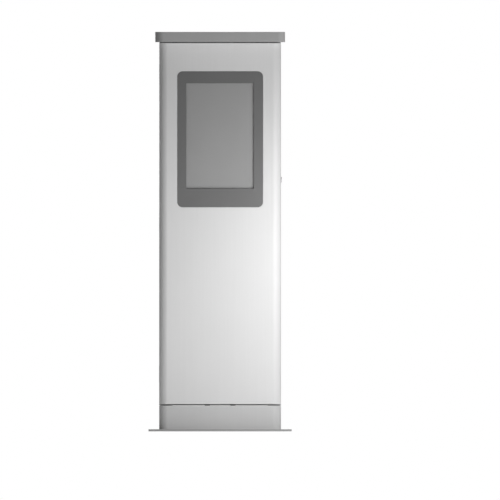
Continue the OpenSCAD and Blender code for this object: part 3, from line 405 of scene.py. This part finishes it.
def middle(edge):
    """The middle of an edge"""
    return (edge.verts[0].co + edge.verts[1].co) / 2


def round_edges(piece, test, width, segments):
    """Round the edges that pass a test, in edit mode"""
    take(piece)
    bpy.ops.object.mode_set(mode="EDIT")
    pick(piece, "EDGE", test)
    bpy.ops.mesh.bevel(offset=width, segments=segments, affect="EDGES")
    bpy.ops.object.mode_set(mode="OBJECT")


def remove_faces(piece, test):
    """Open a piece by deleting the faces that pass a test"""
    take(piece)
    bpy.ops.object.mode_set(mode="EDIT")
    pick(piece, "FACE", test)
    bpy.ops.mesh.delete(type="FACE")
    bpy.ops.object.mode_set(mode="OBJECT")


def apply_modifier(piece, kind, **settings):
    """Add a modifier and put its result into the mesh"""
    take(piece)
    modifier = piece.modifiers.new(kind.lower(), kind)
    for key, value in settings.items():
        setattr(modifier, key, value)
    bpy.ops.object.modifier_apply(modifier=modifier.name)


def cut_away(piece, cutter):
    """Cut one piece out of another and drop the cutter"""
    apply_modifier(piece, "BOOLEAN", object=cutter, operation="DIFFERENCE", solver="EXACT")
    bpy.data.objects.remove(cutter)


def copy_of(piece, name, shift=(0, 0, 0)):
    """A copy of a finished piece with its own mesh, moved by shift"""
    twin = piece.copy()
    twin.data = piece.data.copy()
    twin.name = name
    twin.data.transform(Matrix.Translation(shift))
    scene.collection.objects.link(twin)
    return twin


def join_into(piece, others):
    """Join other pieces into one"""
    bpy.ops.object.select_all(action="DESELECT")
    for other in others:
        other.select_set(True)
    piece.select_set(True)
    bpy.context.view_layer.objects.active = piece
    bpy.ops.object.join()
    return piece


def round_post(name, radius, start, end, sides=24, rim=0.0):
    """A round post from start to end, along X, Y or Z, with rounded rims"""
    start, end = Vector(start), Vector(end)
    span = end - start
    bpy.ops.object.select_all(action="DESELECT")
    bpy.ops.mesh.primitive_cylinder_add(vertices=sides, radius=radius, depth=span.length,
        location=(start + end) / 2, rotation=span.to_track_quat("Z", "Y").to_euler())
    piece = bpy.context.object
    piece.name = name
    settle(piece)
    if rim:
        ends = [start.dot(span.normalized()), end.dot(span.normalized())]
        round_edges(piece, lambda e: any(
            abs(v.co.dot(span.normalized()) - z) < 1e-6 for z in ends for v in e.verts[:1])
            and abs(e.verts[0].co.dot(span) - e.verts[1].co.dot(span)) < 1e-9, rim, 3)
    return piece


def complete(piece, slot, body, *nodes, angle=32):
    """Give a piece its finish and its shading, name what it rides on, and hide the nodes it stands for
    """
    piece.data.materials.clear()
    piece.data.materials.append(FINISHES[slot])
    take(piece)
    bpy.ops.object.shade_smooth_by_angle(angle=math.radians(angle))
    apply_modifier(piece, "WEIGHTED_NORMAL", keep_sharp=True)
    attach(piece, body)
    if nodes:
        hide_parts(*nodes)
    return piece


def soften_cuts(piece, width, angle=50):
    """Break the sharp edges that cuts leave, with a small rounding"""
    apply_modifier(piece, "BEVEL", width=width, segments=2, limit_method="ANGLE",
        angle_limit=math.radians(angle))


def cut_row(piece, cutters):
    """Cut several shapes out of a piece at once"""
    cut_away(piece, join_into(cutters[0], cutters[1:]))


def repeated(piece, count, step):
    """A finished piece and its copies, count in all, each moved on by step"""
    return [piece] + [copy_of(piece, piece.name, Vector(step) * k) for k in range(1, count)]


def copy_node(node):
    """A free copy of a frame node, as one joined mesh with flat faces whole"""
    source = frame["nodes"][node]
    piece = source.copy()
    piece.data = source.data.copy()
    piece.name = "finished_" + node
    piece.parent = None
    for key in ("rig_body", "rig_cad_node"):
        del piece[key]
    scene.collection.objects.link(piece)
    take(piece)
    bpy.ops.mesh.customdata_custom_splitnormals_clear()
    bpy.ops.object.mode_set(mode="EDIT")
    bpy.ops.mesh.select_all(action="SELECT")
    bpy.ops.mesh.remove_doubles(threshold=0.00001)
    bpy.ops.mesh.dissolve_limited(angle_limit=math.radians(0.4))
    bpy.ops.object.mode_set(mode="OBJECT")
    return piece


def soften(node, width):
    """Stand a copy with rounded edges in for a frame node"""
    piece = copy_node(node)
    apply_modifier(piece, "BEVEL", width=width * MM, segments=2, limit_method="ANGLE",
        angle_limit=math.radians(28), miter_outer="MITER_ARC")
    return complete(piece, slot_of[node], body_of[node], node)


SHEET = 2 * MM          # steel sheet of the skins
CORNER = 40 * MM        # outer radius of the rolled upright corners
CORNER_STEPS = 24
PAST = 0.01             # how far a cutter stands past what it cuts


def folded_shell(name, low, high, open_side, closed_low=True):
    """A folded sheet-metal tray with rolled upright corners: open_side is -1 or 1 along Y, for the
    side that has no wall"""
    piece = start_block(name, low, high)
    far = low[1] if open_side > 0 else high[1]
    back = high[1] if open_side > 0 else low[1]
    remove_faces(piece, lambda f: abs(f.calc_center_median().y - back) < 1e-5
        or (not closed_low and f.normal.z < -0.9))
    round_edges(piece, lambda e: runs_along(e, 2) and abs(middle(e).y - far) < 1e-5,
        CORNER, CORNER_STEPS)
    ends = [high[2], low[2]] if closed_low else [high[2]]
    round_edges(piece, lambda e: not e.is_boundary and any(
        abs(middle(e).z - z) < 1e-5 for z in ends), 1.6 * MM, 4)
    apply_modifier(piece, "SOLIDIFY", thickness=SHEET, offset=-1, use_even_offset=True)
    return piece


def rounded_block(name, low, high, radius, steps=12):
    """A block with its four corners rounded as seen from the front: a panel, or the cutter for one"""
    piece = start_block(name, low, high)
    round_edges(piece, lambda e: runs_along(e, 1), radius, steps)
    return piece


def grown(node, gap):
    """A node's box made larger by gap on every side"""
    low, high = box[node]
    return low - Vector((gap, gap, gap)), high + Vector((gap, gap, gap))


def make_door():
    """Door skin with rolled upright corners and a rounded lip round the opening for the bezel"""
    front, back = box["door_skin"]
    piece = folded_shell("door_panel", front, back, 1)
    low, high = grown("screen_bezel", 1 * MM)
    cut_away(piece, rounded_block("opening", (low.x, low.y - PAST, low.z), high, 25 * MM, 16))
    reach = 0.1 * MM
    round_edges(piece, lambda e: all(abs(v.co.y - front.y) < reach
        and low.x - reach < v.co.x < high.x + reach
        and low.z - reach < v.co.z < high.z + reach for v in e.verts), 1.5 * MM, 4)
    complete(piece, "body_paint", "front_door", "door_skin")


def make_rear_cover():
    """Screwed rear cover: a folded tray with a return frame behind and two fields of pressed vents"""
    low, high = box["rear_cover"]
    piece = folded_shell("cover_panel", low, high, -1)
    vent_half = 50.4 * MM
    vent_pitch = 11 * MM
    fan_inset = 60 * MM
    fans_low, fans_high = box["fan_housings"]
    vent = rounded_block("slot", (-vent_half, high.y - PAST, -2.5 * MM),
        (vent_half, high.y + PAST, 2.5 * MM), 2.4 * MM, 6)
    vents = []
    for fan_z in (fans_low.z + fan_inset, fans_high.z - fan_inset):
        for row in range(-4, 5):
            vents.append(copy_of(vent, "slot", (0, 0, fan_z + vent_pitch * row)))
    bpy.data.objects.remove(vent)
    cut_row(piece, vents)
    soften_cuts(piece, 0.4 * MM, 60)
    complete(piece, "body_paint", "cabinet", "rear_cover")

    lip = 70 * MM
    back = low.y
    ring = rounded_block("cover_return", (low.x + SHEET, back, low.z + SHEET),
        (high.x - SHEET, back + SHEET, high.z - SHEET), 2 * MM, 3)
    rim = start_block("rim", (low.x + lip, back, low.z + lip - SHEET),
        (high.x - lip, back + 12 * MM, high.z - lip + SHEET))
    apply_modifier(ring, "BOOLEAN", object=rim, operation="UNION", solver="EXACT")
    bpy.data.objects.remove(rim)
    cut_away(ring, rounded_block("opening", (low.x + lip + SHEET, back - PAST, low.z + lip),
        (high.x - lip - SHEET, back + 3 * PAST, high.z - lip), 6 * MM, 6))
    hole_x = 253 * MM
    hole_inset = 90 * MM
    for x in (-hole_x, hole_x):
        for row in range(4):
            z = low.z + hole_inset + row * (high.z - low.z - 2 * hole_inset) / 3
            cut_away(ring, round_post("hole", 3.4 * MM, (x, back - PAST, z), (x, back + PAST, z)))
    soften_cuts(ring, 0.5 * MM)
    complete(ring, "body_paint", "cabinet", "rear_cover")


def make_plinths():
    """Front and rear plinth panels, open below where they stand on the floor plate"""
    for node, side in (("front_plinth", 1), ("rear_plinth", -1)):
        low, high = box[node]
        piece = folded_shell(node + "_panel", low, high, side, closed_low=False)
        complete(piece, "plinth_paint", body_of[node], node)


def make_canopy():
    """Folded canopy, open below, with rolled corners and a softly rounded top edge"""
    low, high = box["canopy_shell"]
    piece = start_block("canopy_hood", low, high)
    remove_faces(piece, lambda f: f.normal.z < -0.9)
    round_edges(piece, lambda e: runs_along(e, 2), CORNER, CORNER_STEPS)
    round_edges(piece, lambda e: not e.is_boundary and abs(middle(e).z - high.z) < 1e-5, 2.5 * MM, 5)
    apply_modifier(piece, "SOLIDIFY", thickness=SHEET, offset=-1, use_even_offset=True)
    complete(piece, "canopy_paint", "cabinet", "canopy_shell")


def make_bezel():
    """Moulded frame round the screen, with broken edges inside and out"""
    low, high = box["screen_bezel"]
    piece = rounded_block("bezel_frame", low, high, 24 * MM, 16)
    glass_low, glass_high = grown("touch_glass", -12 * MM)
    cut_away(piece, rounded_block("opening", (glass_low.x, low.y - PAST, glass_low.z),
        (glass_high.x, high.y + PAST, glass_high.z), 3 * MM, 6))
    apply_modifier(piece, "BEVEL", width=0.9 * MM, segments=3, limit_method="ANGLE",
        angle_limit=math.radians(50))
    complete(piece, "bezel_plastic", "front_door", "screen_bezel")


make_door()
make_rear_cover()
make_plinths()
make_canopy()
make_bezel()

# ---------------------------------------------------------------- detail pieces

def wire_ring(name, centre, radius, thick):
    """A ring of round wire about Y, where thick is the wire's radius"""
    bpy.ops.object.select_all(action="DESELECT")
    bpy.ops.mesh.primitive_torus_add(location=centre, rotation=(math.radians(90), 0, 0),
        major_radius=radius, minor_radius=thick, major_segments=64, minor_segments=8)
    piece = bpy.context.object
    piece.name = name
    settle(piece)
    return piece


def swept_tube(name, route, radii, sides=20):
    """A round tube that follows route, with its radius at each point, closed at both ends"""
    mesh = bmesh.new()
    rings = []
    side = None
    for i, point in enumerate(route):
        ahead = (route[min(i + 1, len(route) - 1)] - route[max(i - 1, 0)]).normalized()
        side = (side or Vector((0, 0, 1)).cross(ahead) or Vector((1, 0, 0)))
        side = (side - side.dot(ahead) * ahead).normalized()
        up = ahead.cross(side)
        turn = 2 * math.pi / sides
        rings.append([mesh.verts.new(point + radii[i] * (
            math.cos(turn * k) * side + math.sin(turn * k) * up)) for k in range(sides)])
    for low, high in zip(rings, rings[1:]):
        for k in range(sides):
            mesh.faces.new((low[k], low[(k + 1) % sides], high[(k + 1) % sides], high[k]))
    mesh.faces.new(rings[0][::-1])
    mesh.faces.new(rings[-1])
    data = bpy.data.meshes.new(name)
    mesh.to_mesh(data)
    mesh.free()
    piece = bpy.data.objects.new(name, data)
    scene.collection.objects.link(piece)
    return piece


def even_route(points, step):
    """Points a step apart along a line through points"""
    out = [points[0]]
    spare = 0.0
    for a, b in zip(points, points[1:]):
        length = (b - a).length
        at = step - spare
        while at <= length:
            out.append(a.lerp(b, at / length))
            at += step
        spare = (spare + length) % step
    return out + [points[-1]]


def make_loom():
    """The display's wiring in corrugated conduit: it leaves the duct, falls, turns in a half circle
    and rises to the display"""
    start = Vector((-0.185, -0.0204, 1.000))
    straight = 0.006
    elbow = 0.024
    rise = Vector((-0.120, -0.0835, 0.890))
    fall = Vector((start.x, start.y - straight - elbow, 0.890))
    half = (rise - fall).length / 2
    points = [start]
    for k in range(13):
        turn = math.radians(7.5 * k)
        points.append(start - Vector((0, straight + elbow * math.sin(turn),
            elbow * (1 - math.cos(turn)))))
    for k in range(37):
        turn = math.radians(5 * k)
        level = (fall + rise) / 2 + (fall - rise) / 2 * math.cos(turn)
        points.append(level - Vector((0, 0, half * math.sin(turn))))
    points.append(Vector((rise.x, rise.y, box["lcd_panel"][0].z - 0.0004)))
    rib_pitch = 0.0034
    route = even_route(points, rib_pitch / 4)
    radii = [(4.95, 4.75, 4.15, 4.75)[i % 4] * MM for i in range(len(route))]
    piece = swept_tube("loom_conduit", route, radii, 16)
    piece.data.materials.append(FINISHES["cable_jacket"])
    take(piece)
    bpy.ops.object.shade_smooth()
    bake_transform(piece)
    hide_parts("door_loom")


def make_lead():
    """The supply lead from the breaker up to the power supply, in one smooth curve"""
    low = Vector((-0.083, 0, 0.6025))
    high = Vector((-0.0955, -0.008, 0.732))
    pull_low = low + Vector((0, 0, 0.05))
    pull_high = high - Vector((0, 0, 0.06))
    route = []
    steps = 40
    for k in range(steps + 1):
        s = k / steps
        q = 1 - s
        route.append(q ** 3 * low + 3 * q * q * s * pull_low
            + 3 * q * s * s * pull_high + s ** 3 * high)
    radii = [4 * MM] * len(route)
    radii[0] = radii[-1] = 3.4 * MM
    piece = swept_tube("supply_lead", route, radii)
    complete(piece, "cable_jacket", "cabinet", "power_lead", angle=60)


def make_fan_guards():
    """Zinc-plated wire finger guards on the inner side of each fan: rings on four spokes"""
    low, high = box["fan_housings"]
    inset = 60 * MM
    inner = 14 * MM
    outer = 74 * MM
    for name, centre_z, face in (("intake_guard", low.z + inset, 67 * MM),
            ("exhaust_guard", high.z - inset, 75 * MM)):
        y = face - 1.5 * MM
        centre = Vector((0, y - 1.2 * MM, centre_z))
        parts = [wire_ring(name, (0, y, centre_z), r * MM, 0.8 * MM) for r in (14, 24, 34, 44, 54)]
        for turn in (45, 135, 225, 315):
            out = Vector((math.cos(math.radians(turn)), 0, math.sin(math.radians(turn))))
            foot = centre + outer * out
            parts.append(round_post("spoke", 0.9 * MM, centre + inner * out, foot, 10))
            parts.append(round_post("foot", 3.4 * MM, foot - Vector((0, 1 * MM, 0)),
                foot + Vector((0, 2.7 * MM, 0)), 20, 0.5 * MM))
        complete(join_into(parts[0], parts[1:]), "zinc_hardware", "cabinet")


def make_board_parts():
    """Chips and capacitors on the display board"""
    low, high = box["display_board"]
    mid_z = (low.z + high.z) / 2
    face = low.y + 7.6 * MM
    chip = start_block("chip", (-0.052, face, mid_z + 0.012), (-0.040, face + 1.4 * MM, mid_z + 0.024))
    round_edges(chip, lambda e: middle(e).y > face + 1.3 * MM, 0.4 * MM, 2)
    parts = [chip] + [copy_of(chip, "chip", (x, 0, z)) for x, z in (
        (0, -0.02), (0, -0.04), (0.018, 0.022), (0.036, 0.022))]
    for x, z in ((0.024, -0.042), (0.032, -0.042), (-0.046, 0.04), (-0.036, 0.04), (-0.026, 0.04)):
        parts.append(round_post("capacitor", 2.8 * MM, (x, face, mid_z + z),
            (x, face + 6.5 * MM, mid_z + z), 20, 0.5 * MM))
    complete(join_into(parts[0], parts[1:]), "reader_plastic", "front_door")


def make_screw_heads():
    """Pan-head socket screws that hold the controller's tabs and the mounting plate's edges"""
    plate = box["mounting_plate"][0].y
    places = [(x, plate - 1.8 * MM, z) for x in (-0.127, 0.127) for z in (0.965, 1.055)]
    places += [(x, plate + 0.2 * MM, z) for x in (-0.19, 0.19) for z in (0.337, 0.975, 1.613)]
    heads = []
    for x, y, z in places:
        head = round_post("screw", 4 * MM, (x, y - 2.6 * MM, z), (x, y, z), 24, 1.1 * MM)
        cut_away(head, round_post("recess", 1.7 * MM, (x, y - 4 * MM, z), (x, y - 1.2 * MM, z), 6))
        heads.append(head)
    complete(join_into(heads[0], heads[1:]), "zinc_hardware", "cabinet")


def make_modem_aerials():
    """Threads of the two aerial sockets on the modem"""
    high = box["modem"][1]
    y = high.y - 14 * MM
    parts = []
    for x in (-30 * MM, 30 * MM):
        for k in range(5):
            z = high.z - 11.5 * MM + 2.2 * MM * k
            parts.append(round_post("thread", 4.15 * MM, (x, y, z), (x, y, z + 1.2 * MM),
                rim=0.4 * MM))
    complete(join_into(parts[0], parts[1:]), "zinc_hardware", "cabinet")


def make_controller():
    """Fanless controller: an extruded case with even cooling fins and two mounting tabs"""
    low, high = box["controller_pc"]
    fin_d = 12 * MM
    tab = 14 * MM
    case_low = Vector((low.x + tab, low.y + fin_d, low.z))
    case = start_block("controller_case", case_low, (high.x - tab, high.y, high.z))
    round_edges(case, lambda e: runs_along(e, 2), 2 * MM, 4)
    fin = start_block("fin", (case_low.x + 8 * MM, low.y, low.z + 4 * MM),
        (case_low.x + 11 * MM, case_low.y + 0.5 * MM, high.z - 4 * MM))
    round_edges(fin, lambda e: runs_along(e, 2) and middle(e).y < low.y + 1 * MM, 1.2 * MM, 4)
    fins = 16
    pitch = (high.x - low.x - 2 * tab - 19 * MM) / (fins - 1)
    parts = repeated(fin, fins, (pitch, 0, 0))
    for x, side in ((low.x, 1), (high.x, -1)):
        tab_low = min(x, x + side * (tab + 1 * MM))
        parts.append(rounded_block("tab", (tab_low, high.y - 2 * MM, low.z + 30 * MM),
            (tab_low + tab + 1 * MM, high.y, high.z - 30 * MM), 0.9 * MM, 3))
    complete(join_into(case, parts), "heatsink_metal", "cabinet", "controller_pc")


def slotted_screw(name, radius, place):
    """A slotted screw head that stands 1 mm out of a face towards -Y"""
    x, y, z = place
    head = round_post(name, radius, (x, y - 1 * MM, z), (x, y + 0.5 * MM, z), 24, 0.3 * MM)
    cut_away(head, start_block("slot", (x - radius * 2, y - 2 * MM, z - 0.4 * MM),
        (x + radius * 2, y - 0.4 * MM, z + 0.4 * MM)))
    return head


def make_supply():
    """Power supply in a punched case, with a row of screw terminals in a recess at its left"""
    low, high = box["power_supply"]
    case = start_block("supply_case", low, high)
    round_edges(case, lambda e: runs_along(e, 0) and middle(e).y < low.y + 1 * MM, 1.5 * MM, 4)
    cut_away(case, start_block("recess", (low.x - PAST, low.y - PAST, low.z + 12 * MM),
        (low.x + 22 * MM, low.y + 20 * MM, high.z - 12 * MM)))
    centre_z = (low.z + high.z) / 2
    slots = []
    for column in range(-5, 6):
        for z in (centre_z - 22 * MM, centre_z + 22 * MM):
            x = 14 * MM * (column + 1)
            slots.append(rounded_block("slot", (x - 2 * MM, low.y - 3 * MM, z - 17 * MM),
                (x + 2 * MM, low.y + 3 * MM, z + 17 * MM), 1.9 * MM, 5))
    cut_row(case, slots)
    soften_cuts(case, 0.35 * MM)
    complete(case, "supply_metal", "cabinet", "power_supply")

    z = low.z + 14 * MM
    block = start_block("supply_terminals", (low.x + 4 * MM, low.y + 7 * MM, z),
        (low.x + 21 * MM, low.y + 21 * MM, z + 8 * MM))
    round_edges(block, lambda e: middle(e).y < low.y + 8 * MM, 0.8 * MM, 3)
    pitch = (0, 0, 9.9 * MM)
    blocks = repeated(block, 9, pitch)
    complete(join_into(blocks[0], blocks[1:]), "lever_plastic", "cabinet")
    screws = repeated(slotted_screw("terminal_screw", 2.9 * MM,
        (low.x + 12 * MM, low.y + 7 * MM, z + 4 * MM)), 9, pitch)
    complete(join_into(screws[0], screws[1:]), "zinc_hardware", "cabinet")


def make_terminal_row():
    """Twelve rail-mounted terminals with stepped shoulders and a screw at each end"""
    low, high = box["terminal_blocks"]
    wide = 6 * MM
    pitch = (6.2 * MM, 0, 0)
    block = start_block("terminal_row", low, (low.x + wide, high.y, high.z))
    for low_z, high_z in ((low.z - 1 * MM, low.z + 7 * MM), (high.z - 7 * MM, high.z + 1 * MM)):
        cut_away(block, start_block("shoulder", (low.x - PAST, low.y - PAST, low_z),
            (high.x, low.y + 9 * MM, high_z)))
    for z in (low.z + 10 * MM, high.z - 10 * MM):
        cut_away(block, round_post("well", 2 * MM, (low.x + wide / 2, low.y - PAST, z),
            (low.x + wide / 2, low.y + 7.5 * MM, z)))
    for low_z, high_z in ((low.z + 1.5 * MM, low.z + 5.5 * MM),
            (high.z - 5.5 * MM, high.z - 1.5 * MM)):
        cut_away(block, start_block("wire_entry", (low.x + 1.2 * MM, low.y + 8 * MM, low_z),
            (low.x + 4.8 * MM, low.y + 17 * MM, high_z)))
    soften_cuts(block, 0.3 * MM)
    blocks = repeated(block, 12, pitch)
    complete(join_into(blocks[0], blocks[1:]), "terminal_plastic", "cabinet", "terminal_blocks")
    screws = []
    for z in (low.z + 10 * MM, high.z - 10 * MM):
        screw = slotted_screw("row_screw", 1.8 * MM, (low.x + wide / 2, low.y + 5 * MM, z))
        screws += repeated(screw, 12, pitch)
    complete(join_into(screws[0], screws[1:]), "zinc_hardware", "cabinet")


def make_rail():
    """Top-hat rail for the breaker and the terminals, slotted along its web"""
    low, high = box["din_rail"]
    rail = start_block("hat_rail", low, high)
    lip = 4.5 * MM
    cutters = [start_block("trough", (low.x - PAST, low.y - PAST, low.z + lip + 1 * MM),
        (high.x + PAST, high.y - 1 * MM, high.z - lip - 1 * MM))]
    for low_z, high_z in ((low.z - PAST, low.z + lip - 0.5 * MM),
            (high.z - lip + 0.5 * MM, high.z + PAST)):
        cutters.append(start_block("flank", (low.x - PAST, low.y + 1 * MM, low_z),
            (high.x + PAST, high.y + PAST, high_z)))
    centre_z = (low.z + high.z) / 2
    slot_x = low.x + 13.5 * MM
    slot = rounded_block("slot", (slot_x, high.y - 3 * MM, centre_z - 3.1 * MM),
        (slot_x + 18 * MM, high.y + PAST, centre_z + 3.1 * MM), 3 * MM, 6)
    cut_row(rail, cutters + repeated(slot, 12, (25 * MM, 0, 0)))
    soften_cuts(rail, 0.3 * MM)
    complete(rail, "zinc_hardware", "cabinet", "din_rail")


make_loom()
make_lead()
make_fan_guards()
make_board_parts()
make_screw_heads()
make_modem_aerials()
make_controller()
make_supply()
make_terminal_row()
make_rail()

# Width in mm of the rounding on each remaining frame node
EDGES = {
    "base_plate": 0.8, "left_upright": 1.2, "right_upright": 1.2, "canopy_soffit": 0.4,
    "foot_shoes": 0.7, "foot_bolts": 0.5, "head_rail": 0.9, "sill_tray": 0.9, "cable_glands": 0.5,
    "plate_rails": 0.6, "mounting_plate": 0.6, "canopy_ribs": 0.6, "canopy_bolts": 0.5,
    "plinth_brackets": 0.6, "plinth_screws": 0.2, "cover_screws": 0.4, "fan_housings": 0.6,
    "hinge_frame_leaves": 0.4, "hinge_door_leaves": 0.4, "hinge_pins": 0.4,
    "main_lock_body": 0.6, "main_lock_plug": 0.25, "lock_cover": 0.5, "lock_nuts": 0.5,
    "upper_lock_rod": 0.25, "lower_lock_rod": 0.25, "rod_guides": 0.6,
    "cam_lock_body": 0.4, "cam_lock_plug": 0.2, "cam_lock_cam": 0.4,
    "door_liner": 0.6, "door_gasket": 1.8, "rear_gasket": 1.8, "door_tongues": 0.5,
    "screen_carrier": 0.5, "touch_glass": 0.5, "lcd_panel": 0.8, "card_reader": 1.0,
    "modem": 1.5, "main_breaker": 0.8, "breaker_lever": 0.6, "wiring_duct": 0.4,
    "intake_filter": 0.8, "intake_fan_rotor": 0.4, "exhaust_fan_rotor": 0.4,
    "lock_pinion": 0.1, "display_board": 0.15, "screen_gasket": 0.3,
}
for node, width in EDGES.items():
    soften(node, width)

make_studio()
make_camera()
